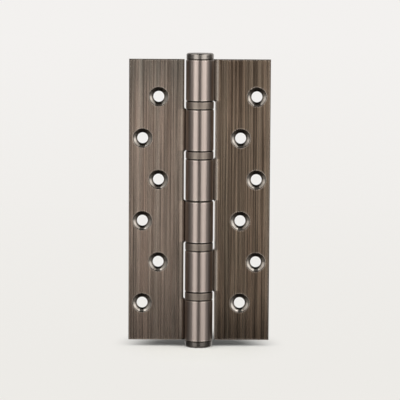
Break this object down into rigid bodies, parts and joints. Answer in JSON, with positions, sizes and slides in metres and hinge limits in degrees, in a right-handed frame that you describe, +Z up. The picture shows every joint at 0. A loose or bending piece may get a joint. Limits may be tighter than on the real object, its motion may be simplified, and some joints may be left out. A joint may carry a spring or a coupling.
{
  "type": "ball bearing butt hinge",
  "caption": "Door hinge with two countersunk leaves that swing on one pin, rolled knuckles with ball bearings between them and flat button tips, in brushed antique bronze.",
  "frame": {"origin": "on the pin's axis, at the middle of the hinge's height", "axes": "+Z up along the pin, +X towards the door leaf, +Y towards the flat backs of the leaves; the hinge is open flat at rest"},
  "size_m": [0.0762, 0.015, 0.1592],
  "materials": {
    "leaf_bronze": "antique bronze plate, brushed along the leaf's height",
    "tip_bronze": "antique bronze plate, turned",
    "case_bronze": "antique bronze plate, satin",
    "pin_steel": "ground steel",
    "bearing_steel": "hardened steel, polished"
  },
  "bodies": {
    "frame_side": {"frame_leaf": "leaf_bronze", "pin": "pin_steel", "bottom_tip": "tip_bronze", "bearing_1_bottom_race": "bearing_steel", "bearing_2_case": "case_bronze", "bearing_2_top_race": "bearing_steel", "bearing_3_case": "case_bronze", "bearing_3_top_race": "bearing_steel", "bearing_4_bottom_race": "bearing_steel"},
    "door_side": {"door_leaf": "leaf_bronze", "top_tip": "tip_bronze", "bearing_1_case": "case_bronze", "bearing_1_top_race": "bearing_steel", "bearing_2_bottom_race": "bearing_steel", "bearing_3_bottom_race": "bearing_steel", "bearing_4_case": "case_bronze", "bearing_4_top_race": "bearing_steel"},
    "ball_ring_1": {"bearing_1_balls": "bearing_steel"},
    "ball_ring_2": {"bearing_2_balls": "bearing_steel"},
    "ball_ring_3": {"bearing_3_balls": "bearing_steel"},
    "ball_ring_4": {"bearing_4_balls": "bearing_steel"}
  },
  "joints": [
    {"name": "leaf_swing", "type": "hinge", "parent": "frame_side", "child": "door_side", "pos_m": [0, 0, 0], "axis": [0, 0, 1], "range_deg": [-180, 90]},
    {"name": "ball_ring_1_roll", "type": "hinge", "parent": "frame_side", "child": "ball_ring_1", "pos_m": [0, 0, 0.05158], "axis": [0, 0, 1], "range_deg": [-90, 45]},
    {"name": "ball_ring_2_roll", "type": "hinge", "parent": "frame_side", "child": "ball_ring_2", "pos_m": [0, 0, 0.02477], "axis": [0, 0, 1], "range_deg": [-90, 45]},
    {"name": "ball_ring_3_roll", "type": "hinge", "parent": "frame_side", "child": "ball_ring_3", "pos_m": [0, 0, -0.02477], "axis": [0, 0, 1], "range_deg": [-90, 45]},
    {"name": "ball_ring_4_roll", "type": "hinge", "parent": "frame_side", "child": "ball_ring_4", "pos_m": [0, 0, -0.05158], "axis": [0, 0, 1], "range_deg": [-90, 45]}
  ],
  "couplings": [
    {"joint": "ball_ring_1_roll", "follows": "leaf_swing", "ratio": 0.5},
    {"joint": "ball_ring_2_roll", "follows": "leaf_swing", "ratio": 0.5},
    {"joint": "ball_ring_3_roll", "follows": "leaf_swing", "ratio": 0.5},
    {"joint": "ball_ring_4_roll", "follows": "leaf_swing", "ratio": 0.5}
  ]
}
